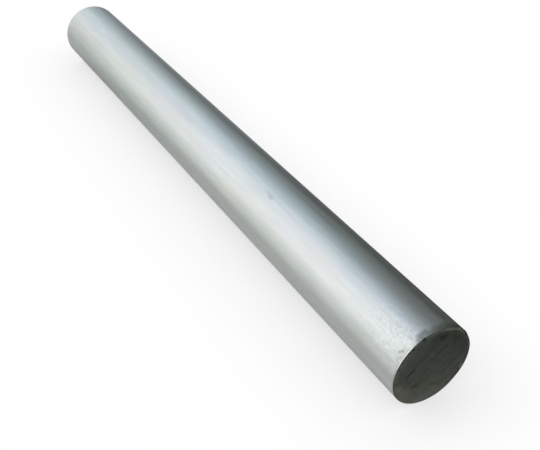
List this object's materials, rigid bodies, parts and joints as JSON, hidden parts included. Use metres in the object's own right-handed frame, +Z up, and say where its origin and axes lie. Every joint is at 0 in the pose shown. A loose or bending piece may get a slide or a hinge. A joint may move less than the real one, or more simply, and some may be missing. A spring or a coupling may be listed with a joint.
{
  "type": "round metal bar",
  "caption": "Straight solid round bar of drawn aluminium, sawn square at both ends with lightly deburred rims; raw stock to cut, turn, drill or clamp.",
  "frame": {"origin": "on the floor under the middle of the bar: the bottom centre of its box", "axes": "+X along the bar's axis, towards the sawn end that faces the viewer; +Z up, with the bar's lowest line on Z = 0"},
  "size_m": [0.3, 0.03, 0.03],
  "materials": {
    "drawn_aluminium": "drawn mill finish, satin, with fine lengthwise die lines; sawn ends dull and dark"
  },
  "bodies": {
    "root": {"bar": "drawn_aluminium"}
  },
  "joints": []
}
